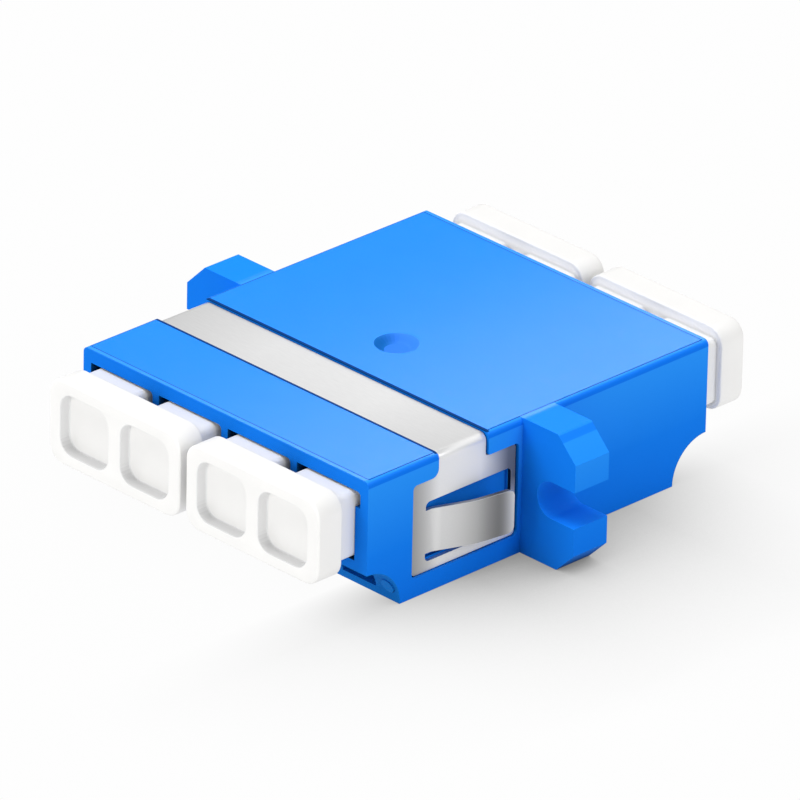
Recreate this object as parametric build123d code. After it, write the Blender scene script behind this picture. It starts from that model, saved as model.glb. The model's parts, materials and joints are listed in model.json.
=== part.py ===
from build123d import *
import math
import os

# All sizes are in millimetres. X runs across the four ports, -Y points out of the front ports,
# Z points up, and the origin is the middle of the housing's underside.

# Housing block, wider than its row of ports by a margin on each side
body_side_margin = 0.4
body_length = 29.9
body_height = 9.4
body_top_edge_radius = 0.4
roof_thickness = 0.95
web_thickness = 2.5

# Ports, four side by side and open at both ends
port_count = 4
port_pitch = 6.25
port_width = 4.8
port_floor_height = 3.6
shoulder_drop = 1.1
shoulder_depth = 6.0
partition_thickness = 0.58
port_corner_radius = 0.3

# Catch for the connector latch, under each port
latch_slot_width = 2.4
latch_bay_width = 3.0
latch_bay_floor = 0.5
latch_bay_depth = 8.0
lip_thickness = 0.9

# Scooped lower edge at both ends
scoop_radius = 2.9

# Flange ears with their screw notches
ear_reach = 4.7
ear_front = -1.55
ear_thickness = 2.95
ear_top_chamfer = 1.62
ear_bottom_chamfer = 1.45
notch_width = 2.54
notch_height = 4.62
notch_depth = 3.3

# Gate dimple in the middle of the roof
dimple_top_diameter = 3.0
dimple_floor_diameter = 1.6
dimple_depth = 0.48

# Folded spring clip
clip_thickness = 0.3
clip_recess = 0.13
clip_clearance = 0.05
clip_bend_radius = 0.5
band_front = -8.8
band_width = 4.22
side_plate_front = -10.98
side_plate_length = 9.08
side_plate_bottom = 1.4
tab_height = 1.65
side_plate_corner_radius = 0.3
tab_corner_radius = 0.6
back_tab_corner_radius = 0.2
window_front_margin = 1.16
window_back_margin = 0.36
window_bottom_margin = 0.65
window_top_margin = 1.55
window_corner_radius = 0.35
tongue_slit = 0.58
tongue_tip_gap = 1.2
tongue_tip_radius = 0.45
tongue_root_radius = 1.2
tongue_root_angle = 21.5
tongue_straight = 2.3
tongue_crown_radius = 4.5
tongue_crown_angle = 13.0
relief_depth = 0.2
relief_margin = 0.15

# Split sleeves that line up the ferrules
ferrule_diameter = 1.25
sleeve_wall = 0.185
sleeve_length = 6.8
sleeve_slit = 0.3

# Barrels that hold the sleeves, and the retainers that close them
barrel_diameter = 3.0
sleeve_play = 0.065
sleeve_end_play = 0.05
barrel_lip = 0.5
barrel_entry_clearance = 0.08
barrel_entry_chamfer = 0.3
retainer_base_width = 3.8
retainer_base_thickness = 0.9
retainer_clearance = 0.05

# Twin dust caps
cap_side_clearance = 0.05
cap_height_clearance = 0.375
cap_plug_depth = 6.0
cap_plug_corner_radius = 0.5
cap_plug_wall = 0.8
cap_plug_floor = 1.4
cap_plate_gap = 0.56
cap_plate_height = 6.28
cap_plate_lift = 0.1
cap_plate_thickness = 2.05
cap_plate_corner_radius = 1.25
cap_face_edge_chamfer = 0.35
front_cap_standoff = 1.5
rear_cap_standoff = 1.95
pocket_width = 4.45
pocket_height = 4.3
pocket_spacing = 5.48
pocket_depth = 0.85
pocket_corner_radius = 1.1

# Sizes that follow from those above
body_width = port_count * port_pitch + 2 * body_side_margin
half_length = body_length / 2
half_width = body_width / 2
half_web = web_thickness / 2
ceiling_height = body_height - roof_thickness
shoulder_height = ceiling_height - shoulder_drop
port_height = ceiling_height - port_floor_height
axis_height = port_floor_height + port_height / 2
shoulder_width = port_pitch - partition_thickness
port_centres = [(i - (port_count - 1) / 2) * port_pitch for i in range(port_count)]
sleeve_diameter = ferrule_diameter + 2 * sleeve_wall
sleeve_seat_diameter = sleeve_diameter + 2 * sleeve_play
barrel_entry_diameter = ferrule_diameter + 2 * barrel_entry_clearance
seat_end = sleeve_length / 2 + sleeve_end_play
barrel_end = seat_end + barrel_lip
retainer_seat = half_web - retainer_base_thickness
clip_pocket_depth = clip_recess + clip_thickness
clip_face = half_width - clip_recess
band_back = band_front + band_width
side_plate_back = side_plate_front + side_plate_length
side_plate_top = body_height - tab_height
window_front = side_plate_front + window_front_margin
window_back = side_plate_back - window_back_margin
window_bottom = side_plate_bottom + window_bottom_margin
window_top = side_plate_top - window_top_margin
tongue_bottom = window_bottom + tongue_slit
tongue_top = window_top - tongue_slit
tongue_tip = window_back - tongue_tip_gap
cap_plug_width = port_width - 2 * cap_side_clearance
cap_plug_height = port_height - 2 * cap_height_clearance
cap_plate_width = 2 * port_pitch - cap_plate_gap
past = 1.0


def span_box(x_span, y_span, z_span):
    """A box between two values along each axis."""
    corner = (x_span[0], y_span[0], z_span[0])
    size = (x_span[1] - x_span[0], y_span[1] - y_span[0], z_span[1] - z_span[0])
    return Pos(*corner) * Box(*size, align=(Align.MIN, Align.MIN, Align.MIN))


def at_port(centre, height, distance):
    """A plane square to the optical axis whose normal points towards the front."""
    return Plane(origin=(centre, distance, height), x_dir=(1, 0, 0), z_dir=(0, -1, 0))


def both_sides(shape):
    """The shape and its mirror image on the other side of the part."""
    return shape + mirror(shape, about=Plane.YZ)


def both_ends(shape):
    """The shape and its mirror image at the other end of the part."""
    return shape + mirror(shape, about=Plane.XZ)


def body_block():
    """The plain block: a section with rounded upper corners, drawn along Y."""
    section = Plane.XZ * Pos(0, body_height / 2) * Rectangle(body_width, body_height)
    top_corners = section.vertices().group_by(Axis.Z)[-1]
    section = fillet(top_corners, body_top_edge_radius)
    return extrude(section, amount=half_length, both=True)


def port_cavity(centre):
    """One front port: the plug's room, wider shoulders with one round corner, and the latch bay."""
    room = span_box(
        (centre - port_width / 2, centre + port_width / 2),
        (-half_length - past, -half_web),
        (port_floor_height, ceiling_height),
    )
    shoulders = span_box(
        (centre - shoulder_width / 2, centre + shoulder_width / 2),
        (-half_length - past, -half_length + shoulder_depth),
        (shoulder_height, ceiling_height),
    )
    right_corner = shoulders.edges().filter_by(Axis.Y).group_by(Axis.Z)[-1].sort_by(Axis.X)[-1]
    shoulders = fillet(right_corner, port_corner_radius)
    slot = span_box(
        (centre - latch_slot_width / 2, centre + latch_slot_width / 2),
        (-half_length - past, -half_length + lip_thickness + past),
        (latch_bay_floor, port_floor_height + past),
    )
    bay = span_box(
        (centre - latch_bay_width / 2, centre + latch_bay_width / 2),
        (-half_length + lip_thickness, -half_length + latch_bay_depth),
        (latch_bay_floor, port_floor_height + past),
    )
    return room + shoulders + slot + bay


def scoop():
    """The hollow along the lower front edge."""
    return Pos(0, -half_length, 0) * Rot(0, 90, 0) * Cylinder(scoop_radius, body_width + 2 * past)


def ear():
    """One flange ear with its open screw notch."""
    tip = half_width + ear_reach
    outline = Polyline(
        (half_width - past, 0),
        (tip - ear_bottom_chamfer, 0),
        (tip, ear_bottom_chamfer),
        (tip, body_height - ear_top_chamfer),
        (tip - ear_top_chamfer, body_height),
        (half_width - past, body_height),
        close=True,
    )
    plate = extrude(Plane.XZ.offset(-ear_front) * make_face(outline), amount=-ear_thickness)
    centre = tip - notch_depth + notch_width / 2
    span = (ear_front - past, ear_front + ear_thickness + past)
    half_notch = notch_width / 2
    notch = span_box((centre, tip + past), span, (notch_height - half_notch, notch_height + half_notch))
    round_end = Pos(centre, (span[0] + span[1]) / 2, notch_height) * Rot(90, 0, 0)
    return plate - notch - round_end * Cylinder(half_notch, ear_thickness + 2 * past)


def dimple():
    """The conical dimple in the roof."""
    bottom = Plane.XY.offset(body_height - dimple_depth) * Circle(dimple_floor_diameter / 2)
    top = Plane.XY.offset(body_height) * Circle(dimple_top_diameter / 2)
    return loft([bottom, top])


def plate_outline(clearance):
    """The side plate of the clip with its neck, in the YZ plane, grown by a clearance."""
    plate = Polyline(
        (side_plate_front - clearance, side_plate_bottom - clearance),
        (side_plate_back + clearance, side_plate_bottom - clearance),
        (side_plate_back + clearance, side_plate_top + clearance),
        (band_back + clearance, side_plate_top + clearance),
        (band_back + clearance, body_height + past),
        (band_front - clearance, body_height + past),
        (band_front - clearance, side_plate_top + clearance),
        (side_plate_front - clearance, side_plate_top + clearance),
        close=True,
    )
    face = make_face(plate)
    neck = [v for v in face.vertices() if abs(v.Y - side_plate_top - clearance) < 0.01]
    front_root = min(neck, key=lambda v: abs(v.X - band_front + clearance))
    back_root = min(neck, key=lambda v: abs(v.X - band_back - clearance))
    face = fillet(front_root, tab_corner_radius - clearance)
    back_root = face.vertices().sort_by_distance(Vector(back_root))[0]
    face = fillet(back_root, back_tab_corner_radius - clearance)
    outer = [v for v in face.vertices() if v.Y < body_height]
    ends = (side_plate_front - clearance, side_plate_back + clearance)
    corners = [v for v in outer if min(abs(v.X - ends[0]), abs(v.X - ends[1])) < 0.01]
    return fillet(corners, side_plate_corner_radius)


def clip_room():
    """What the housing leaves free for the clip: a groove over the roof and a pocket in each side."""
    groove = span_box(
        (-half_width - past, half_width + past),
        (band_front - clip_clearance, band_back + clip_clearance),
        (body_height - clip_pocket_depth, body_height + past),
    )
    flat = Plane.YZ.offset(half_width - clip_pocket_depth) * plate_outline(clip_clearance)
    pocket = extrude(flat, amount=clip_pocket_depth + past)
    corner = span_box(
        (half_width - clip_pocket_depth - clip_bend_radius, half_width + past),
        (band_front - clip_clearance, band_back + clip_clearance),
        (body_height - clip_pocket_depth - clip_bend_radius, body_height + past),
    )
    inner = clip_bend_radius - clip_thickness
    bend = (half_width - clip_pocket_depth - inner, body_height - clip_pocket_depth - inner)
    core = Pos(bend[0], (band_front + band_back) / 2, bend[1]) * Rot(90, 0, 0)
    keep = core * Cylinder(inner, band_width + 2 * clip_clearance)
    keep += span_box(
        (half_width - clip_pocket_depth - clip_bend_radius - past, bend[0]),
        (band_front - clip_clearance, band_back + clip_clearance),
        (bend[1] - past, body_height - clip_pocket_depth),
    )
    keep += span_box(
        (bend[0], half_width - clip_pocket_depth),
        (band_front - clip_clearance, band_back + clip_clearance),
        (body_height - clip_pocket_depth - clip_bend_radius - past, bend[1]),
    )
    relief = span_box(
        (half_width - clip_pocket_depth - relief_depth, half_width),
        (window_front + relief_margin, window_back - relief_margin),
        (window_bottom + relief_margin, window_top - relief_margin),
    )
    return groove + both_sides(pocket + (corner - keep) + relief)


def turned(*points):
    """A solid of revolution about the Y axis from half-section points given as (radius, y)."""
    return revolve(make_face(Polyline(*points, close=True)), axis=Axis.Y)


def barrel(root, bore_start):
    """A sleeve barrel that points to -Y, and the bore with its end lip and lead-in."""
    radius = barrel_diameter / 2
    seat = sleeve_seat_diameter / 2
    entry = barrel_entry_diameter / 2
    tube = turned((0, root), (radius, root), (radius, -barrel_end), (0, -barrel_end))
    bore = turned(
        (0, bore_start),
        (seat, bore_start),
        (seat, -seat_end),
        (entry, -seat_end),
        (entry, barrel_entry_chamfer - barrel_end),
        (entry + barrel_entry_chamfer, -barrel_end),
        (0, -barrel_end),
    )
    return tube, bore


def housing():
    """The one-piece moulded housing."""
    shell = body_block() + both_sides(ear())
    cuts = both_ends(scoop()) + dimple() + clip_room()
    cuts += [both_ends(port_cavity(centre)) for centre in port_centres]
    shell -= cuts
    for centre in port_centres:
        tube, bore = barrel(-half_web, retainer_seat)
        seat = span_box(
            (-retainer_base_width / 2 - retainer_clearance, retainer_base_width / 2 + retainer_clearance),
            (retainer_seat, half_web + past),
            (-retainer_base_width / 2 - retainer_clearance, retainer_base_width / 2 + retainer_clearance),
        )
        place = Pos(centre, 0, axis_height)
        shell = shell + place * tube
        shell = shell - place * bore - place * seat
    return shell


def sleeve(centre):
    """A split sleeve: a thin tube with one slit along its top."""
    section = Circle(sleeve_diameter / 2) - Circle(ferrule_diameter / 2)
    section -= Pos(0, sleeve_diameter / 2) * Rectangle(sleeve_slit, sleeve_diameter)
    return extrude(at_port(centre, axis_height, 0) * section, amount=sleeve_length / 2, both=True)


def sleeve_retainer(centre):
    """The rear half of a sleeve holder: a square base in the web and a barrel behind it."""
    tube, bore = barrel(-retainer_seat, -retainer_seat + past)
    base = span_box(
        (-retainer_base_width / 2, retainer_base_width / 2),
        (-half_web, -retainer_seat),
        (-retainer_base_width / 2, retainer_base_width / 2),
    )
    return Pos(centre, 0, axis_height) * mirror(tube + base - bore, about=Plane.XZ)


def clip_band():
    """The band over the roof with its two bends and the necks that run down to the side plates."""
    top = body_height - clip_recess
    path = Rectangle(2 * clip_face, 2 * top)
    path = fillet(path.vertices(), clip_bend_radius)
    inner = Rectangle(2 * (clip_face - clip_thickness), 2 * (top - clip_thickness))
    inner = fillet(inner.vertices(), clip_bend_radius - clip_thickness)
    ring = path - inner
    band = extrude(Plane.XZ.offset(-band_front) * ring, amount=-band_width)
    return band - span_box(
        (-body_width, body_width),
        (band_front - past, band_back + past),
        (-2 * body_height, side_plate_top - side_plate_corner_radius),
    )


def tongue_edge(offset):
    """One face of the tongue seen from above: straight root, bend out, run, crown and tip."""
    x = clip_face - clip_thickness / 2 + offset
    y = window_front - window_corner_radius
    points = [Vector(x, y)]
    heading = 0.0
    runs = [
        (None, 2 * window_corner_radius),
        (tongue_root_radius, tongue_root_angle),
        (None, tongue_straight),
        (tongue_crown_radius, -tongue_crown_angle),
    ]
    edges = []
    for radius, value in runs:
        start = points[-1]
        if radius is None:
            end = start + Vector(math.sin(heading), math.cos(heading)) * value
            edges.append(Line(start, end))
        else:
            turn = math.radians(value)
            arm = radius - offset if turn > 0 else radius + offset
            side = math.copysign(1.0, turn)
            centre = start + Vector(math.cos(heading), -math.sin(heading)) * arm * side
            spots = []
            for share in (0.5, 1.0):
                angle = heading + turn * share
                spots.append(centre - Vector(math.cos(angle), -math.sin(angle)) * arm * side)
            edges.append(ThreePointArc(start, spots[0], spots[1]))
            heading += turn
            end = spots[1]
        points.append(end)
    reach = (tongue_tip - end.Y) / math.cos(heading)
    tip = end + Vector(math.sin(heading), math.cos(heading)) * reach
    edges.append(Line(end, tip))
    return edges, points[0], tip


def tongue():
    """The sprung tongue that stands out of the side plate's window."""
    outer, outer_start, outer_tip = tongue_edge(clip_thickness / 2)
    inner, inner_start, inner_tip = tongue_edge(-clip_thickness / 2)
    outline = outer + inner + [Line(outer_start, inner_start), Line(outer_tip, inner_tip)]
    blade = extrude(Plane.XY.offset(tongue_bottom) * make_face(outline), amount=tongue_top - tongue_bottom)
    tip_edges = blade.edges().filter_by(lambda e: e.center().Y > tongue_tip - 0.01)
    tip_corners = tip_edges.filter_by(lambda e: abs(e.tangent_at(0.5).Z) < 0.01)
    return fillet(tip_corners, tongue_tip_radius)


def mounting_clip():
    """The folded sheet clip: band, side plates, windows and tongues."""
    flat = Plane.YZ.offset(clip_face - clip_thickness) * plate_outline(0.0)
    plate = extrude(flat, amount=clip_thickness)
    neck_top = side_plate_top + tab_corner_radius
    plate -= span_box((0, body_width), (-body_length, body_length), (neck_top, 2 * body_height))
    window = Plane.YZ.offset(clip_face - clip_thickness - past) * Pos(
        (window_front + window_back) / 2, (window_bottom + window_top) / 2
    )
    opening = Rectangle(window_back - window_front, window_top - window_bottom)
    opening = fillet(opening.vertices(), window_corner_radius)
    plate -= extrude(window * opening, amount=clip_thickness + 2 * past)
    return clip_band() + both_sides(plate + tongue())


def dust_cap(centre, standoff):
    """A twin dust cap for the two front ports around the centre."""
    back = -half_length - standoff
    face = back - cap_plate_thickness
    height = axis_height + cap_plate_lift
    plate = Rectangle(cap_plate_width, cap_plate_height)
    plate = fillet(plate.vertices(), cap_plate_corner_radius)
    cap = extrude(at_port(centre, height, back) * plate, amount=cap_plate_thickness)
    cap = chamfer(cap.faces().sort_by(Axis.Y)[0].edges(), cap_face_edge_chamfer)
    for side in (-1, 1):
        pocket = Rectangle(pocket_width, pocket_height)
        pocket = fillet(pocket.vertices(), pocket_corner_radius)
        place = at_port(centre + side * pocket_spacing / 2, height, face + pocket_depth)
        cap -= extrude(place * pocket, amount=past)
    plug = Rectangle(cap_plug_width, cap_plug_height)
    plug = fillet(plug.vertices(), cap_plug_corner_radius)
    hollow = Rectangle(cap_plug_width - 2 * cap_plug_wall, cap_plug_height - 2 * cap_plug_wall)
    inner_end = -half_length + cap_plug_depth
    for side in (-1, 1):
        place = at_port(centre + side * port_pitch / 2, axis_height, inner_end)
        cap += extrude(place * plug, amount=inner_end - back)
        cap -= extrude(place * hollow, amount=inner_end - back - cap_plug_floor)
    return cap


def make_parts():
    """Every piece of the adapter under its node name."""
    parts = {"housing": housing(), "mounting_clip": mounting_clip()}
    for number, centre in enumerate(port_centres, 1):
        parts[f"sleeve_{number}"] = sleeve(centre)
        parts[f"sleeve_retainer_{number}"] = sleeve_retainer(centre)
    for name, centre in (("left", -port_pitch), ("right", port_pitch)):
        parts[f"dust_cap_front_{name}"] = dust_cap(centre, front_cap_standoff)
        parts[f"dust_cap_rear_{name}"] = mirror(dust_cap(centre, rear_cap_standoff), about=Plane.XZ)
    return parts


os.makedirs("parts", exist_ok=True)
for name, shape in make_parts().items():
    export_step(shape, f"parts/{name}.step")
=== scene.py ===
import json
import math

import bmesh
import bpy
from mathutils import Matrix, Vector


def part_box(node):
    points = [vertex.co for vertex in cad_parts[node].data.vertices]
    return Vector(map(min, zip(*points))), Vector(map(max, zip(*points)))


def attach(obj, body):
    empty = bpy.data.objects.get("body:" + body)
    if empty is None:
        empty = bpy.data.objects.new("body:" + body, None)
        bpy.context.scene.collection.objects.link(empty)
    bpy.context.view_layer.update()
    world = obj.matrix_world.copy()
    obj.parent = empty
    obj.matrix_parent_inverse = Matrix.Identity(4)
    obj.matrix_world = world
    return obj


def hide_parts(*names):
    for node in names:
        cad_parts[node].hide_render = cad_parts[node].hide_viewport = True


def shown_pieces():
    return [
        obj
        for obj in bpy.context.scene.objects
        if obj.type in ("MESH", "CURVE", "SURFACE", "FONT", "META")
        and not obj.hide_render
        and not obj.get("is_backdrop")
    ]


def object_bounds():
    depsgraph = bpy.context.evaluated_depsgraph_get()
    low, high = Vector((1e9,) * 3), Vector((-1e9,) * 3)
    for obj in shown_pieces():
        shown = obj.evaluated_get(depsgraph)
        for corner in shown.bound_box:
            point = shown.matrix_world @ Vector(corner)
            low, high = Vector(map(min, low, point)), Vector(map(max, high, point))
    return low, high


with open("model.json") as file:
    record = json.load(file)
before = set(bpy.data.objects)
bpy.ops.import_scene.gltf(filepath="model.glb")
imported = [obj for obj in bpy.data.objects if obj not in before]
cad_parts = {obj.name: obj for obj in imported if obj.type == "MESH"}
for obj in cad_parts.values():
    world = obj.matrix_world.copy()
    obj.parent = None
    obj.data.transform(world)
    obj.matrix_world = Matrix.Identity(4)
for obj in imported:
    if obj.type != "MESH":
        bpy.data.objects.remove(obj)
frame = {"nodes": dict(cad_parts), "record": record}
cad_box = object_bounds()

MM = 0.001

# Twin dust caps and moulding marks, in millimetres and degrees: sizes inside the solids' own boxes
CAP_SIZES = {
    "plate height": 5.9,
    "plate thickness": 2.05,
    "plate corner radius": 1.2,
    "face edge radius": 0.16,
    "back edge radius": 0.12,
    "pocket width": 4.4,
    "pocket height": 4.15,
    "pocket spacing": 5.5,
    "pocket depth": 0.8,
    "pocket corner radius": 1.05,
    "pocket rim radius": 0.06,
    "pocket floor radius": 0.1,
    "plug spacing": 6.25,
    "plug width": 4.7,
    "plug height": 4.6,
    "plug corner radius": 0.5,
    "plug wall": 0.8,
    "plug end radius": 0.2,
    "plug floor": 1.4,
}
FRONT_CAP_LIFT = -0.24
REAR_CAP_LIFT = 0.04
PLUG_HEIGHT = 6.03
MARK_SIZES = {"mark radius": 0.5, "mark thickness": 0.12, "mark spacing": 24.2}
MARK_ANGLE = 22.0
SCOOP_RADIUS = 2.9

# How finely round corners and edges are cut, and the distance in millimetres within which points merge
CORNER_STEPS = 8
EDGE_STEPS = 6
MERGE_DISTANCE = 0.002

# Softened edges in millimetres, the clip's scale along each axis, and the angle past which an edge is softened
HOUSING_EDGE = 0.1
CLIP_EDGE = 0.05
CLIP_SHRINK = (0.998, 0.982, 1)
SHARP_ANGLE = 35.0

# Places on the housing, in millimetres
HALF_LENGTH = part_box("housing")[1][1] / MM
ROOF_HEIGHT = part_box("housing")[1][2] / MM
HALF_WIDTH = 12.9
SIDE_TOP_FADE = (4.0, 9.0)
SIDE_FOOT_FADE = (0.0, 4.5)
SIDE_LINE = (ROOF_HEIGHT - 0.45, ROOF_HEIGHT - 0.1)
ROOF_START = (ROOF_HEIGHT - 0.1, ROOF_HEIGHT - 0.05)
ROOF_RIM = (0.0, 0.26)
ROOF_LINE = (0.3, 0.33)
SCOOP_SKIN = (SCOOP_RADIUS + 0.03, SCOOP_RADIUS + 0.07)
DIMPLE_REACH = 1.55
DIMPLE_LEVELS = (ROOF_HEIGHT - 0.6, ROOF_HEIGHT - 0.04)
EAR_START = (HALF_WIDTH, HALF_WIDTH + 0.3)

# Shade in the ports: its reach in millimetres, and the open shares between which it fades
PORT_SHADE_REACH = 4.0
PORT_SHADE = (0.06, 0.36)

# Places on the clip, in millimetres
BAND_CENTRE = -6.69
BAND_HALF_WIDTH = 2.2
BAND_SEAM = (-0.1, 0.15)
BAND_END = (5.0, 12.5)
CLIP_SPAN = (-11.6, -2.2)
PLATE_REAR = (-5.0, -2.6)
PLATE_REAR_LEVELS = (3.5, 5.5)
TONGUE_START = (12.85, 13.0)

# Blues of the housing, as linear values
HOUSING_BLUE = (0.006, 0.205, 0.86, 1)
# Painted highlight along the rounded edges
EDGE_HIGHLIGHT_BLUE = (0.03, 0.34, 0.95, 1)
# Painted light on the sides' upper parts, and painted shade towards their feet
SIDE_LIT_BLUE = (0.02, 0.28, 0.93, 1)
SIDE_SHADE_BLUE = (0.003, 0.165, 0.8, 1)
# Painted highlight along the roof's rim
ROOF_RIM_HIGHLIGHT_BLUE = (0.02, 0.24, 0.9, 1)
# Painted shade line under the roof's edge
UNDER_ROOF_SHADE_BLUE = (0.004, 0.175, 0.84, 1)
# Painted shade deep in the ports
HOLLOW_SHADE_BLUE = (0.0005, 0.012, 0.03, 1)
# Painted shade lines just inside the roof's rim and along the clip
SHADE_LINE_BLUE = (0.0005, 0.035, 0.16, 1)
# Painted shade in the hollows under the ends, and on the ejector marks in them
SCOOP_SHADE_BLUE = (0.006, 0.165, 0.6, 1)
MARK_SHADE_BLUE = (0.006, 0.178, 0.62, 1)
# Painted light and shade on the dimple, by the way its faces lean
DIMPLE_LIT_BLUE = (0.03, 0.18, 0.7, 1)
DIMPLE_SHADE_BLUE = (0.002, 0.11, 0.4, 1)

# Matt places: the roughness added, and the share of the shine kept
MATT_ROUGHNESS = 0.35
MATT_SPECULAR = 0.2

# Whites of the caps and the sleeves, with painted shade on the caps' pocket walls, deeper on the sills
CAP_WHITE = (0.87, 0.865, 0.852, 1)
CAP_EDGE_WHITE = (0.84, 0.835, 0.825, 1)
POCKET_SHADE_GREY = (0.8, 0.8, 0.8, 1)
SILL_SHADE_GREY = (0.58, 0.58, 0.58, 1)
SLEEVE_WHITE = (0.871, 0.855, 0.791, 1)
SLEEVE_EDGE_WHITE = (0.956, 0.947, 0.905, 1)

# Greys of the rolled steel, the stepped ones by distance along the adapter in millimetres: painted reflections
# and shade on the plates and the tongue, painted shade at the plates' rear, the band's ends and the cut faces,
# brushed streaks, and a painted highlight on the rounded edges
PLATE_REFLECTION_GREYS = ((-11.0, 0.36), (-10.4, 0.4), (-9.4, 0.66), (-8.6, 0.94), (-2.0, 0.94))
TONGUE_REFLECTION_GREYS = ((-9.5, 0.76), (-8.0, 0.76), (-6.3, 0.45), (-5.0, 0.15), (-4.2, 0.19), (-3.4, 0.9))
SHADED_GREY = (0.2, 0.2, 0.2, 1)
PLATE_REAR_SHADE = 0.95
BAND_END_SHADE = 0.22
CUT_EDGE_SHADE_GREY = (0.03, 0.03, 0.035, 1)
BRUSHED_GREY = (0.25, 0.26, 0.28, 1)
STEEL_EDGE_HIGHLIGHT = (0.95, 0.95, 0.95, 1)

# Marks that the shaders read from the faces
WALL_MARK = "pocket_wall"
EDGE_MARK = "rounded_edge"

# Camera of the photograph: angles in degrees, lengths in metres
CAMERA_AZIMUTH = 45.2549
CAMERA_ELEVATION = 26.4275
CAMERA_ROLL = 1.2309
CAMERA_DISTANCE = 0.7620
CAMERA_LENS = 540.8
CAMERA_SHIFT_RIGHT = 0.0003905
CAMERA_SHIFT_UP = 0.0048013
SENSOR_WIDTH = 36.0

# Floor: its size in metres, its drop below the object in millimetres, and its brightness
FLOOR_SIZE = 6.0
FLOOR_DROP = 0.02
FLOOR_GLOW = 0.99

# Shadow: its reach and the spans that it fades over, in millimetres, and its depth in each place
SHADOW_REACH = 20.0
SHADOW_SIDE = (8.5, 12.8)
SHADOW_START = (-17.0, -6.0)
SHADOW_END = (8.0, 17.0)
FRONT_SHADOW = 0.03
SIDE_SHADOW = 0.93
REAR_SHADOW = 0.3
NEAR_SHADOW = 0.45

# Lights, in metres and watts: name, place, size, power and the pieces that they light
SOFT_BOXES = (
    ("key", (-0.4, -0.15, 0.8), (0.5, 0.5), 7.0, "others"),
    ("caps_key", (-0.4, -0.15, 0.8), (0.5, 0.5), 5.4, "caps"),
    ("side", (0.8, 0.1, 0.5), (0.5, 0.4), 2.2, "all"),
    ("front", (-0.2, -0.9, 0.3), (0.5, 0.4), 2.6, "blue"),
    ("blue_side", (0.5, 0.1, 0.7), (0.5, 0.4), 0.9, "blue"),
    ("caps_front", (0.1, -0.8, 0.35), (0.5, 0.4), 3.1, "caps"),
    ("caps_side", (0.9, -0.2, 0.25), (0.4, 0.3), 0.9, "caps"),
    ("top", (0, 0, 0.6), (0.3, 0.3), 0.7, "blue"),
)
STEEL_CARD = ("steel_card", (0, 0.45, 0.35), (1.0, 0.5), 1.0, ["mounting_clip_finish"])
CARD_DISTANCE = 0.09
CARD_SIZE = (0.25, 0.08)
CARD_EDGE = 0.0017
CARD_POWER = 0.26
SURROUND_STRENGTH = 0.4


def new_material(name):
    """An empty node material with its surface shader."""
    material = bpy.data.materials.new(name)
    material.use_nodes = True
    return material, material.node_tree, material.node_tree.nodes["Principled BSDF"]


def add_node(tree, kind, inputs, output=0, **settings):
    """A node with its settings, and its inputs given as values or linked from other nodes."""
    made = tree.nodes.new(kind)
    for name, value in settings.items():
        setattr(made, name, value)
    for name, value in inputs.items():
        if isinstance(value, bpy.types.NodeSocket):
            tree.links.new(value, made.inputs[name])
        else:
            made.inputs[name].default_value = value
    return made.outputs[output]


def own_place(tree):
    """The object's own coordinates, in metres."""
    return add_node(tree, "ShaderNodeTexCoord", {}, output="Object")


def along_axis(tree, axis):
    return add_node(tree, "ShaderNodeSeparateXYZ", {0: own_place(tree)}, output=axis)


def math_of(tree, operation, first, second=0.0):
    return add_node(tree, "ShaderNodeMath", {0: first, 1: second}, operation=operation)


def product_of(tree, first, second):
    return math_of(tree, "MULTIPLY", first, second)


def sum_of(tree, first, second):
    return math_of(tree, "ADD", first, second)


def minus(tree, value):
    return product_of(tree, value, -1.0)


def higher_of(tree, first, second):
    return math_of(tree, "MAXIMUM", first, second)


def difference_of(tree, first, second):
    return math_of(tree, "SUBTRACT", first, second)


def amount_of(tree, value):
    """The value without its sign."""
    return math_of(tree, "ABSOLUTE", value)


def spread(tree, value, low, high, start=0.0, end=1.0):
    """The value mapped from one span to another, and kept inside it."""
    spans = {"Value": value, "From Min": low, "From Max": high, "To Min": start, "To Max": end}
    return add_node(tree, "ShaderNodeMapRange", spans)


def blended(tree, share, first, second):
    return add_node(tree, "ShaderNodeMix", {0: share, 6: first, 7: second}, output=2, data_type="RGBA")


def speckle(tree, size, detail=3.0, stretch=(1, 1, 1)):
    """Noise with spots of about one size, in millimetres."""
    place = add_node(tree, "ShaderNodeMapping", {"Vector": own_place(tree), "Scale": stretch})
    return add_node(tree, "ShaderNodeTexNoise", {"Vector": place, "Scale": 1 / (size * MM), "Detail": detail})


def rounded_edge_faces(tree):
    """1 on the faces that round the sharp edges."""
    return add_node(tree, "ShaderNodeAttribute", {}, output="Fac", attribute_name=EDGE_MARK)


def add_relief(tree, shader, height, depth):
    relief = add_node(tree, "ShaderNodeBump", {"Height": height, "Strength": 0.3, "Distance": depth * MM})
    tree.links.new(relief, shader.inputs["Normal"])


def facing(tree, axis):
    """How far a face looks along one axis, from -1 to 1."""
    normal = add_node(tree, "ShaderNodeNewGeometry", {}, output="True Normal")
    return add_node(tree, "ShaderNodeSeparateXYZ", {0: normal}, output=axis)


def over_span(tree, place, span, start=0.0, end=1.0):
    """A share that changes with a place in metres, over a span in millimetres."""
    low, high = span
    return spread(tree, place, low * MM, high * MM, start, end)


def within(tree, place, low, high, soft=0.03):
    """1 between two levels in millimetres, with soft ends."""
    rise = over_span(tree, place, (low - soft, low))
    fall = over_span(tree, place, (high, high + soft), 1.0, 0.0)
    return product_of(tree, rise, fall)


def distance_from(tree, axis, centre=0.0):
    """Distance from a plane across one axis, in metres."""
    return amount_of(tree, difference_of(tree, along_axis(tree, axis), centre * MM))


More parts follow.
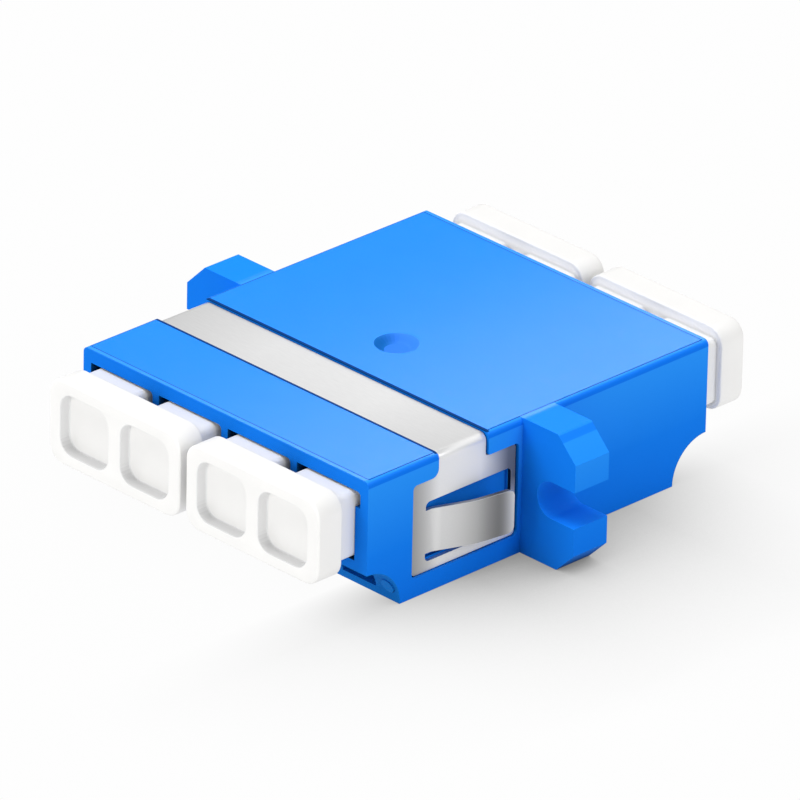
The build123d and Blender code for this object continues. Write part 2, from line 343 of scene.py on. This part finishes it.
def moulded_plastic(name, colour, pale, roughness, specular, shade=None):
    """Fine-grained plastic, a little uneven in tone and gloss, with a second colour painted on the faces that
    round its sharp edges, as a painted highlight on the housing's blue.
    """
    material, tree, shader = new_material(name)
    darker = tuple(0.94 * value for value in colour[:3]) + (1,)
    tone = blended(tree, speckle(tree, 2.5), darker, colour)
    # Painted highlight on the faces that round the sharp edges, where a piece carries that mark
    tone = blended(tree, product_of(tree, rounded_edge_faces(tree), 0.45), tone, pale)
    gloss = spread(tree, speckle(tree, 0.6), 0.35, 0.65, roughness * 0.9, roughness * 1.1)
    shader.inputs["Specular IOR Level"].default_value = specular
    if shade:
        tone, matt = shade(tree, tone)
        gloss = sum_of(tree, gloss, product_of(tree, matt, MATT_ROUGHNESS))
        shine = spread(tree, matt, 0.0, 1.0, specular, MATT_SPECULAR * specular)
        tree.links.new(shine, shader.inputs["Specular IOR Level"])
    tree.links.new(tone, shader.inputs["Base Color"])
    tree.links.new(gloss, shader.inputs["Roughness"])
    add_relief(tree, shader, speckle(tree, 0.11), 0.004)
    return material


def from_scoop(tree):
    """Distance from the axis of the hollows under the ends, in metres."""
    level = distance_from(tree, "Z")
    across = difference_of(tree, distance_from(tree, "Y"), HALF_LENGTH * MM)
    place = add_node(tree, "ShaderNodeCombineXYZ", {"X": across, "Y": level})
    return add_node(tree, "ShaderNodeVectorMath", {0: place}, output="Value", operation="LENGTH")


def painted_side_shading(tree, tone, height):
    """Painted light and shade on the sides: a paler painted top, a deeper painted shade towards the foot, and
    a painted shade line under the roof.
    """
    sideways = spread(tree, amount_of(tree, facing(tree, "X")), 0.1, 0.9)
    fades = (
        (over_span(tree, height, SIDE_TOP_FADE), SIDE_LIT_BLUE),
        (over_span(tree, height, SIDE_FOOT_FADE, 1.0, 0.0), SIDE_SHADE_BLUE),
        (within(tree, height, *SIDE_LINE), UNDER_ROOF_SHADE_BLUE),
    )
    for share, colour in fades:
        tone = blended(tree, product_of(tree, sideways, share), tone, colour)
    return tone


def roof_inset(tree):
    """Distance inwards from the nearest edge of the roof, in metres."""
    from_side = difference_of(tree, HALF_WIDTH * MM, distance_from(tree, "X"))
    from_end = difference_of(tree, HALF_LENGTH * MM, distance_from(tree, "Y"))
    return math_of(tree, "MINIMUM", from_side, from_end)


def dimple_mask(tree, height):
    """1 on the walls and floor of the dimple in the roof."""
    mask = product_of(
        tree, within(tree, distance_from(tree, "X"), -1.0, DIMPLE_REACH), within(tree, height, *DIMPLE_LEVELS)
    )
    mask = product_of(tree, mask, within(tree, distance_from(tree, "Y"), -1.0, DIMPLE_REACH))
    return product_of(tree, mask, spread(tree, facing(tree, "Z"), 0.1, 0.2))


def clip_seam_shade(tree, on_roof):
    """1 on the roof beside the band, and on the housing's edges beside the rest of the clip: the painted shade
    line along the clip.
    """
    from_band = difference_of(tree, distance_from(tree, "Y", BAND_CENTRE), BAND_HALF_WIDTH * MM)
    beside_band = product_of(tree, on_roof, within(tree, from_band, *BAND_SEAM))
    beside_clip = product_of(tree, within(tree, along_axis(tree, "Y"), *CLIP_SPAN), rounded_edge_faces(tree))
    return higher_of(tree, beside_band, beside_clip)


def housing_shade(tree, tone):
    """The housing's tone with painted light and shade from part to part, and a mask of where it doesn't shine.
    """
    height = along_axis(tree, "Z")
    tone = painted_side_shading(tree, tone, height)

    inset = roof_inset(tree)
    on_roof = over_span(tree, height, ROOF_START)
    # Painted highlight along the roof's rim, then a painted shade line just inside it
    tone = blended(tree, product_of(tree, on_roof, within(tree, inset, *ROOF_RIM)), tone, ROOF_RIM_HIGHLIGHT_BLUE)
    roof_line = product_of(tree, on_roof, within(tree, inset, *ROOF_LINE))
    tone = blended(tree, roof_line, tone, SHADE_LINE_BLUE)

    # Painted shade in the hollows under the ends
    tone = blended(tree, over_span(tree, from_scoop(tree), SCOOP_SKIN, 1.0, 0.0), tone, SCOOP_SHADE_BLUE)
    # Painted light and shade on the dimple's faces, by the way they lean
    leaning = sum_of(tree, facing(tree, "X"), facing(tree, "Y"))
    dimple_shading = blended(tree, spread(tree, leaning, -0.1, 0.7), DIMPLE_LIT_BLUE, DIMPLE_SHADE_BLUE)
    in_dimple = dimple_mask(tree, height)
    tone = blended(tree, in_dimple, tone, dimple_shading)

    # Painted shade deep in the ports, where little is open around a point
    reach = {"Distance": PORT_SHADE_REACH * MM}
    inside = add_node(tree, "ShaderNodeAmbientOcclusion", reach, output="AO", samples=6)
    tone = blended(tree, spread(tree, inside, *PORT_SHADE, 1.0, 0.0), tone, HOLLOW_SHADE_BLUE)
    seam = clip_seam_shade(tree, on_roof)

    matt = spread(tree, facing(tree, "Z"), 0.3, 0.9, 1.0, 0.0)
    for mask in (seam, over_span(tree, distance_from(tree, "X"), EAR_START), roof_line, in_dimple):
        matt = higher_of(tree, matt, mask)
    # Painted shade line along the clip
    return blended(tree, seam, tone, SHADE_LINE_BLUE), matt


def pocket_shade(tree, tone):
    """The caps' tone with painted shade on the pocket walls, deeper on the upward-facing sills, and a mask of
    those walls, which don't shine.
    """
    wall = add_node(tree, "ShaderNodeAttribute", {}, output="Fac", attribute_name=WALL_MARK)
    shadow = blended(tree, spread(tree, facing(tree, "Z"), 0.0, 0.8), POCKET_SHADE_GREY, SILL_SHADE_GREY)
    return blended(tree, wall, tone, shadow), wall


def grey_ramp(tree, along, stops):
    """Greys that change along one coordinate, from stops in millimetres."""
    start, end = stops[0][0], stops[-1][0]
    place = spread(tree, along, start * MM, end * MM)
    ramp = tree.nodes.new("ShaderNodeValToRGB")
    ramp.color_ramp.interpolation = "B_SPLINE"
    elements = ramp.color_ramp.elements
    while len(elements) < len(stops):
        elements.new(0.5)
    for element, (where, grey) in zip(elements, stops):
        element.position = (where - start) / (end - start)
        element.color = (grey, grey, grey, 1)
    tree.links.new(place, ramp.inputs["Fac"])
    return ramp.outputs["Color"]


def plate_tone(tree, sideways, outward):
    """Painted reflections and shade on the band and the side plates, deeper at the band's ends and at the
    plates' rear.
    """
    along = along_axis(tree, "Y")
    tone = grey_ramp(tree, along, PLATE_REFLECTION_GREYS)
    rear = over_span(tree, along, PLATE_REAR, 0.0, PLATE_REAR_SHADE)
    upper = over_span(tree, along_axis(tree, "Z"), PLATE_REAR_LEVELS)
    rear = product_of(tree, product_of(tree, rear, upper), spread(tree, sideways, 0.3, 0.9))
    tone = blended(tree, rear, tone, SHADED_GREY)
    band_end = over_span(tree, outward, BAND_END, 0.0, BAND_END_SHADE)
    band_end = product_of(tree, band_end, spread(tree, sideways, 0.1, 0.5, 1.0, 0.0))
    return blended(tree, band_end, tone, SHADED_GREY)


def clip_steel():
    """Bright rolled steel with brushed streaks, with painted reflections and shade from part to part, a
    painted highlight on its rounded edges and painted shade on its cut faces.
    """
    material, tree, shader = new_material("clip_steel")
    sideways = amount_of(tree, facing(tree, "X"))
    tree.links.new(spread(tree, sideways, 0.3, 0.9, 0.85, 0.3), shader.inputs["Metallic"])
    outward = amount_of(tree, along_axis(tree, "X"))
    plate = plate_tone(tree, sideways, outward)
    # Painted reflections and shade along the tongue
    tongue = grey_ramp(tree, along_axis(tree, "Y"), TONGUE_REFLECTION_GREYS)
    tone = blended(tree, over_span(tree, outward, TONGUE_START), plate, tongue)
    brushed = speckle(tree, 0.8, stretch=(1, 14, 14))
    tone = blended(tree, spread(tree, brushed, 0.3, 0.7, 0.0, 0.08), tone, BRUSHED_GREY)
    # Painted highlight on the rounded edges, then painted shade on the cut faces
    tone = blended(tree, product_of(tree, rounded_edge_faces(tree), 0.85), tone, STEEL_EDGE_HIGHLIGHT)
    cut_edge = spread(tree, amount_of(tree, facing(tree, "Y")), 0.5, 0.9)
    tone = blended(tree, cut_edge, tone, CUT_EDGE_SHADE_GREY)
    tree.links.new(tone, shader.inputs["Base Color"])
    tree.links.new(spread(tree, brushed, 0.3, 0.7, 0.32, 0.38), shader.inputs["Roughness"])
    add_relief(tree, shader, brushed, 0.002)
    return material


def new_tree(name, labels):
    """A Geometry Nodes tree with a named input for each size."""
    tree = bpy.data.node_groups.new(name, "GeometryNodeTree")
    tree.interface.new_socket("Geometry", in_out="OUTPUT", socket_type="NodeSocketGeometry")
    for label in labels:
        tree.interface.new_socket(label, in_out="INPUT", socket_type="NodeSocketFloat")
    return tree, tree.nodes.new("NodeGroupInput").outputs


def shaped_mesh(name, tree, sizes):
    """The mesh that a tree makes from sizes in metres."""
    source = scratch_object(bpy.data.meshes.new(name))
    shaper = source.modifiers.new(tree.name, "NODES")
    shaper.node_group = tree
    for socket in tree.interface.items_tree:
        if socket.in_out == "INPUT":
            shaper[socket.identifier] = sizes[socket.name]
    mesh = bpy.data.meshes.new_from_object(source.evaluated_get(bpy.context.evaluated_depsgraph_get()))
    bpy.data.objects.remove(source)
    return mesh


def point(tree, x=0.0, y=0.0, z=0.0):
    return add_node(tree, "ShaderNodeCombineXYZ", {"X": x, "Y": y, "Z": z})


def joined(tree, shapes):
    join = tree.nodes.new("GeometryNodeJoinGeometry")
    for shape in reversed(shapes):
        tree.links.new(shape, join.inputs[0])
    return join.outputs[0]


def moved(tree, shape, offset):
    return add_node(tree, "GeometryNodeTransform", {"Geometry": shape, "Translation": offset})


def rounded_outline(tree, width, height, radius):
    """A flat rounded rectangle to sweep a profile round."""
    sharp = add_node(tree, "GeometryNodeCurvePrimitiveQuadrilateral", {"Width": width, "Height": height})
    inputs = {"Curve": sharp, "Count": CORNER_STEPS - 1, "Radius": radius}
    return add_node(tree, "GeometryNodeFilletCurve", inputs, mode="POLY")


def profile_line(tree, top, bottom):
    """A straight stretch of a profile between two levels, on the outline itself."""
    ends = {"Start": point(tree, y=minus(tree, top)), "End": point(tree, y=minus(tree, bottom))}
    return add_node(tree, "GeometryNodeCurvePrimitiveLine", ends)


def profile_round(tree, radius, start, outward, level):
    """A quarter round of a profile about a centre that lies outward of the outline at a level."""
    inputs = {
        "Resolution": EDGE_STEPS,
        "Radius": radius,
        "Start Angle": math.radians(start),
        "Sweep Angle": math.radians(90),
    }
    quarter = add_node(tree, "GeometryNodeCurveArc", inputs)
    return moved(tree, quarter, point(tree, outward, minus(tree, level)))


def swept(tree, outline, profile):
    return add_node(tree, "GeometryNodeCurveToMesh", {"Curve": outline, "Profile Curve": profile})


def grown(tree, outline, amount):
    """The outline moved outwards by an amount."""
    normal = tree.nodes.new("GeometryNodeInputNormal").outputs[0]
    step = add_node(tree, "ShaderNodeVectorMath", {0: normal, "Scale": amount}, operation="SCALE")
    return add_node(tree, "GeometryNodeSetPosition", {"Geometry": outline, "Offset": step})


def filled(tree, outlines, level):
    """A flat face between outlines, at a level."""
    face = add_node(tree, "GeometryNodeFillCurve", {"Curve": joined(tree, outlines)})
    return moved(tree, face, point(tree, z=level))


def pair(tree, shape, spacing):
    """The shape twice, side by side."""
    row = {
        "Count": 2,
        "Start Location": point(tree, product_of(tree, spacing, -0.5)),
        "Offset": point(tree, spacing),
    }
    spots = add_node(tree, "GeometryNodeMeshLine", row)
    copies = add_node(tree, "GeometryNodeInstanceOnPoints", {"Points": spots, "Instance": shape})
    return add_node(tree, "GeometryNodeRealizeInstances", {"Geometry": copies})


def twin_cap_tree(finish):
    """A twin dust cap that faces +Z, with the back of its plate at the origin."""
    tree, size = new_tree("twin_cap", [*CAP_SIZES, "plate width", "plug length", "plug drop"])
    face = size["plate thickness"]
    front_round = size["face edge radius"]
    back_round = size["back edge radius"]
    outline = rounded_outline(tree, size["plate width"], size["plate height"], size["plate corner radius"])
    front_level = sum_of(tree, face, minus(tree, front_round))
    rim = [
        profile_round(tree, front_round, -90, minus(tree, front_round), front_level),
        profile_line(tree, front_level, back_round),
        profile_round(tree, back_round, 0, minus(tree, back_round), back_round),
    ]
    surfaces = [swept(tree, outline, joined(tree, rim))]

    lip = size["pocket rim radius"]
    foot = size["pocket floor radius"]
    pocket = rounded_outline(tree, size["pocket width"], size["pocket height"], size["pocket corner radius"])
    floor_level = sum_of(tree, face, minus(tree, size["pocket depth"]))
    lip_level = sum_of(tree, face, minus(tree, lip))
    foot_level = sum_of(tree, floor_level, foot)
    wall = [
        profile_round(tree, lip, 180, lip, lip_level),
        profile_line(tree, lip_level, foot_level),
        profile_round(tree, foot, 0, minus(tree, foot), foot_level),
    ]
    floor = filled(tree, [grown(tree, pocket, minus(tree, foot))], floor_level)
    walls = {"Geometry": swept(tree, pocket, joined(tree, wall)), "Name": WALL_MARK, "Value": 1.0}
    walls = add_node(tree, "GeometryNodeStoreNamedAttribute", walls, data_type="FLOAT", domain="FACE")
    hollow = joined(tree, [walls, floor])
    surfaces.append(pair(tree, hollow, size["pocket spacing"]))
    rims = pair(tree, grown(tree, pocket, lip), size["pocket spacing"])
    surfaces.append(filled(tree, [grown(tree, outline, minus(tree, front_round)), rims], face))

    end_round = size["plug end radius"]
    plug = rounded_outline(tree, size["plug width"], size["plug height"], size["plug corner radius"])
    both_walls = product_of(tree, size["plug wall"], -2.0)
    bore_width = sum_of(tree, size["plug width"], both_walls)
    bore_height = sum_of(tree, size["plug height"], both_walls)
    bore = rounded_outline(tree, bore_width, bore_height, product_of(tree, size["plug corner radius"], 0.5))
    end_level = minus(tree, size["plug length"])
    end_start = sum_of(tree, end_level, end_round)
    bore_floor = minus(tree, size["plug floor"])
    shell = [
        profile_line(tree, 0.0, end_start),
        profile_round(tree, end_round, 0, minus(tree, end_round), end_start),
    ]
    prong = [
        swept(tree, plug, joined(tree, shell)),
        swept(tree, bore, profile_line(tree, end_level, bore_floor)),
        filled(tree, [grown(tree, plug, minus(tree, end_round)), bore], end_level),
        filled(tree, [bore], bore_floor),
    ]
    drop = point(tree, y=minus(tree, size["plug drop"]))
    surfaces.append(moved(tree, pair(tree, joined(tree, prong), size["plug spacing"]), drop))
    roots = moved(tree, pair(tree, plug, size["plug spacing"]), drop)
    surfaces.append(filled(tree, [grown(tree, outline, minus(tree, back_round)), roots], 0.0))

    merge = {"Geometry": joined(tree, surfaces), "Distance": MERGE_DISTANCE * MM}
    cap = add_node(tree, "GeometryNodeMergeByDistance", merge)
    cap = add_node(tree, "GeometryNodeRealizeInstances", {"Geometry": cap})
    cap = add_node(tree, "GeometryNodeSetMaterial", {"Geometry": cap, "Material": finish})
    tree.links.new(cap, tree.nodes.new("NodeGroupOutput").inputs[0])
    return tree


def mould_marks_tree(finish):
    """Four round ejector marks on the hollows under the ends."""
    tree, size = new_tree("mould_marks", MARK_SIZES)
    disc = {"Vertices": 32, "Radius": size["mark radius"], "Depth": size["mark thickness"]}
    disc = add_node(tree, "GeometryNodeMeshCylinder", disc)
    angle = math.radians(MARK_ANGLE)
    depth = SCOOP_RADIUS - 0.5 * MARK_SIZES["mark thickness"]
    place = (0, (depth * math.cos(angle) - HALF_LENGTH) * MM, depth * math.sin(angle) * MM)
    tilt = {"Geometry": disc, "Rotation": (math.radians(90) + angle, 0, 0), "Translation": place}
    front = pair(tree, add_node(tree, "GeometryNodeTransform", tilt), size["mark spacing"])
    rear = add_node(tree, "GeometryNodeTransform", {"Geometry": front, "Rotation": (0, 0, math.pi)})
    marks = add_node(tree, "GeometryNodeRealizeInstances", {"Geometry": joined(tree, [front, rear])})
    marks = add_node(tree, "GeometryNodeSetMaterial", {"Geometry": marks, "Material": finish})
    tree.links.new(marks, tree.nodes.new("NodeGroupOutput").inputs[0])
    return tree


def mould_marks(finish):
    """The ejector marks as one piece of the housing."""
    sizes = {label: value * MM for label, value in MARK_SIZES.items()}
    piece = scratch_object(shaped_mesh("mould_marks_shape", mould_marks_tree(finish), sizes))
    piece.name = "mould_marks"
    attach(piece, "adapter")


def finished_piece(name, source, node, body):
    """A plain mesh piece from what an object shows once its modifiers have run."""
    seen = source.evaluated_get(bpy.context.evaluated_depsgraph_get())
    mesh = bpy.data.meshes.new_from_object(seen)
    mesh.name = name
    bpy.data.objects.remove(source)
    piece = bpy.data.objects.new(name, mesh)
    bpy.context.scene.collection.objects.link(piece)
    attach(piece, body)
    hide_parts(node)
    return piece


def add_smooth_shading(source):
    """Smooth faces whose shading follows the large ones."""
    for face in source.data.polygons:
        face.use_smooth = True
    shading = source.modifiers.new("shading", "WEIGHTED_NORMAL")
    shading.keep_sharp = True


def scratch_object(mesh):
    source = bpy.data.objects.new(mesh.name, mesh)
    bpy.context.scene.collection.objects.link(source)
    return source


def dust_cap(node, tree, finish):
    """A rounded twin cap in place of the plain solid, inside its box."""
    low, high = (Vector(corner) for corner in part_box(node))
    front = "front" in node
    centre = (low + high) / 2
    centre.z += (FRONT_CAP_LIFT if front else REAR_CAP_LIFT) * MM
    sizes = {label: value * MM for label, value in CAP_SIZES.items()}
    sizes["plate width"] = high.x - low.x
    sizes["plug length"] = high.y - low.y - sizes["plate thickness"]
    sizes["plug drop"] = centre.z - PLUG_HEIGHT * MM
    centre.y = low.y + sizes["plate thickness"] if front else high.y - sizes["plate thickness"]
    shape = shaped_mesh(node + "_shape", tree, sizes)
    turn = Matrix.Rotation(0 if front else math.pi, 4, "Z") @ Matrix.Rotation(math.pi / 2, 4, "X")
    shape.transform(Matrix.Translation(centre) @ turn)
    shape.materials.clear()
    shape.materials.append(finish)
    work = bmesh.new()
    work.from_mesh(shape)
    bmesh.ops.recalc_face_normals(work, faces=work.faces)
    work.to_mesh(shape)
    work.free()
    source = scratch_object(shape)
    add_smooth_shading(source)
    return finished_piece(node + "_moulding", source, node, node + "_body")


def mark_edges(mesh):
    """Turns the second material slot, which holds the rounded edges, into a mark on the faces."""
    mark = mesh.attributes.new(EDGE_MARK, "FLOAT", "FACE")
    for face in mesh.polygons:
        mark.data[face.index].value = face.material_index
        face.material_index = 0
    mesh.materials.pop()


def softened(node, finish, width, body, scale=(1, 1, 1)):
    """A merged copy of a solid with its sharp edges rounded off."""
    mesh = frame["nodes"][node].data.copy()
    work = bmesh.new()
    work.from_mesh(mesh)
    bmesh.ops.remove_doubles(work, verts=work.verts, dist=MERGE_DISTANCE * MM)
    bmesh.ops.dissolve_limit(
        work, angle_limit=math.radians(0.5), verts=work.verts, edges=work.edges, use_dissolve_boundaries=False
    )
    bmesh.ops.scale(work, vec=scale, space=Matrix.Translation((0, -BAND_CENTRE * MM, 0)), verts=work.verts)
    work.to_mesh(mesh)
    work.free()
    mesh.materials.clear()
    for _ in range(2):
        mesh.materials.append(finish)
    source = scratch_object(mesh)
    edges = source.modifiers.new("edges", "BEVEL")
    edges.width = width * MM
    edges.segments = 2
    edges.material = 1
    edges.limit_method = "ANGLE"
    edges.angle_limit = math.radians(SHARP_ANGLE)
    add_smooth_shading(source)
    piece = finished_piece(node + "_finish", source, node, body)
    mark_edges(piece.data)
    return piece


def dress_frame():
    """The finishes on the pieces that keep their solids, and softened pieces in place of the others."""
    finishes = {
        "housing_blue": moulded_plastic("housing_blue", HOUSING_BLUE, EDGE_HIGHLIGHT_BLUE, 0.22, 0.08, housing_shade),
        "retainer_blue": moulded_plastic("retainer_blue", HOUSING_BLUE, EDGE_HIGHLIGHT_BLUE, 0.45, 0.2),
        "mark_blue": moulded_plastic("mark_blue", MARK_SHADE_BLUE, EDGE_HIGHLIGHT_BLUE, 0.5, 0.02),
        "clip_steel": clip_steel(),
        "sleeve_ceramic": moulded_plastic("sleeve_ceramic", SLEEVE_WHITE, SLEEVE_EDGE_WHITE, 0.2, 0.5),
        "cap_white": moulded_plastic("cap_white", CAP_WHITE, CAP_EDGE_WHITE, 0.5, 0.3, pocket_shade),
    }
    slots = {row["node"]: row["material_slot"] for row in frame["record"]["subparts"]}
    for name, piece in frame["nodes"].items():
        piece.data.materials.clear()
        piece.data.materials.append(finishes[slots[name]])
    cap_tree = twin_cap_tree(finishes["cap_white"])
    for name in frame["nodes"]:
        if name.startswith("dust_cap"):
            dust_cap(name, cap_tree, finishes["cap_white"])
    mould_marks(finishes["mark_blue"])
    softened("housing", finishes["housing_blue"], HOUSING_EDGE, "adapter")
    softened("mounting_clip", finishes["clip_steel"], CLIP_EDGE, "adapter", CLIP_SHRINK)


def add_camera():
    """The photograph's camera, from its fitted angles."""
    azimuth, elevation, roll = (math.radians(v) for v in (CAMERA_AZIMUTH, CAMERA_ELEVATION, CAMERA_ROLL))
    level = Vector((math.cos(azimuth), math.sin(azimuth), 0))
    outwards = Vector((math.sin(azimuth), -math.cos(azimuth), 0))
    back = outwards * math.cos(elevation) + Vector((0, 0, math.sin(elevation)))
    upright = back.cross(level)
    right = level * math.cos(roll) + upright * math.sin(roll)
    up = upright * math.cos(roll) - level * math.sin(roll)
    data = bpy.data.cameras.new("photo_camera")
    data.lens = CAMERA_LENS
    data.sensor_width = SENSOR_WIDTH
    data.clip_start = 0.01
    data.clip_end = 20
    camera = bpy.data.objects.new("photo_camera", data)
    place = right * CAMERA_SHIFT_RIGHT + up * CAMERA_SHIFT_UP + back * CAMERA_DISTANCE
    turn = Matrix((right, up, back)).transposed().to_4x4()
    camera.matrix_world = Matrix.Translation(place) @ turn
    bpy.context.scene.collection.objects.link(camera)
    bpy.context.scene.camera = camera


def add_soft_box(name, place, size, power, lit=(), gloss_only=False, turn=None):
    """A soft box that faces the object, and lights only the pieces named, if any are."""
    data = bpy.data.lights.new(name, "AREA")
    data.shape = "RECTANGLE"
    data.size, data.size_y = size
    data.energy = power
    light = bpy.data.objects.new(name, data)
    light.location = place
    light.rotation_euler = (turn or Vector(place).to_track_quat("Z", "Y")).to_euler()
    light.visible_camera = False
    light.visible_diffuse = not gloss_only
    bpy.context.scene.collection.objects.link(light)
    if lit:
        group = bpy.data.collections.new(name + "_lit")
        for piece in lit:
            group.objects.link(bpy.data.objects[piece])
        light.light_linking.receiver_collection = group


def add_gloss_card(lit):
    """A bright card whose lower edge is mirrored along the roof, so that its right half looks paler."""
    view = bpy.context.scene.camera.matrix_world.to_3x3().col[2]
    mirrored = Vector((-view.x, -view.y, view.z))
    along_length = (Vector((0, 1, 0)) - mirrored * mirrored.y).normalized()
    across = mirrored.cross(along_length)
    turn = Matrix((along_length, across, mirrored)).transposed()
    if across.z < 0:
        turn = Matrix((-along_length, -across, mirrored)).transposed()
        across = -across
    roof = Vector((0, 0, cad_box[1][2]))
    place = roof + mirrored * CARD_DISTANCE + across * (CARD_EDGE + CARD_SIZE[1] / 2)
    add_soft_box("gloss_card", place, CARD_SIZE, CARD_POWER, lit, gloss_only=True, turn=turn)


def studio_floor():
    """A pale floor that glows evenly, with a colourless painted shadow where the object stands over it."""
    bpy.ops.mesh.primitive_plane_add(size=FLOOR_SIZE, location=(0, 0, -FLOOR_DROP * MM))
    floor = bpy.context.object
    floor.name = "studio_floor"
    material, tree, shader = new_material("studio_floor")
    shader.inputs["Base Color"].default_value = (0, 0, 0, 1)
    shader.inputs["Specular IOR Level"].default_value = 0.0
    shader.inputs["Emission Color"].default_value = (1, 1, 1, 1)
    reach = {"Distance": SHADOW_REACH * MM}
    covered = add_node(tree, "ShaderNodeAmbientOcclusion", reach, output="AO", samples=16)
    covered = difference_of(tree, 1.0, covered)
    fades = (
        over_span(tree, along_axis(tree, "X"), SHADOW_SIDE, FRONT_SHADOW, SIDE_SHADOW),
        over_span(tree, along_axis(tree, "Y"), SHADOW_END, 1.0, REAR_SHADOW),
        over_span(tree, along_axis(tree, "Y"), SHADOW_START, NEAR_SHADOW, 1.0),
    )
    for fade in fades:
        covered = product_of(tree, covered, fade)
    tree.links.new(difference_of(tree, FLOOR_GLOW, covered), shader.inputs["Emission Strength"])
    floor.data.materials.append(material)
    floor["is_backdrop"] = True


def add_studio():
    """Pale floor, dim white surroundings and soft lights."""
    studio_floor()
    world = bpy.data.worlds.new("studio")
    world.use_nodes = True
    background = world.node_tree.nodes["Background"]
    background.inputs["Color"].default_value = (1, 1, 1, 1)
    background.inputs["Strength"].default_value = SURROUND_STRENGTH
    bpy.context.scene.world = world
    pieces = [piece.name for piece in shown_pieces() if not piece.hide_render and piece.name != "studio_floor"]
    caps = [name for name in pieces if name.endswith("_moulding")]
    lit = {
        "all": pieces,
        "caps": caps,
        "others": [name for name in pieces if name not in caps],
        "blue": ["housing_finish", "mould_marks"],
    }
    for name, place, size, power, group in SOFT_BOXES:
        add_soft_box(name, place, size, power, lit[group])
    add_gloss_card(lit["blue"])
    add_soft_box(*STEEL_CARD, gloss_only=True)
    bpy.context.scene.view_settings.view_transform = "Standard"


dress_frame()
add_camera()
add_studio()
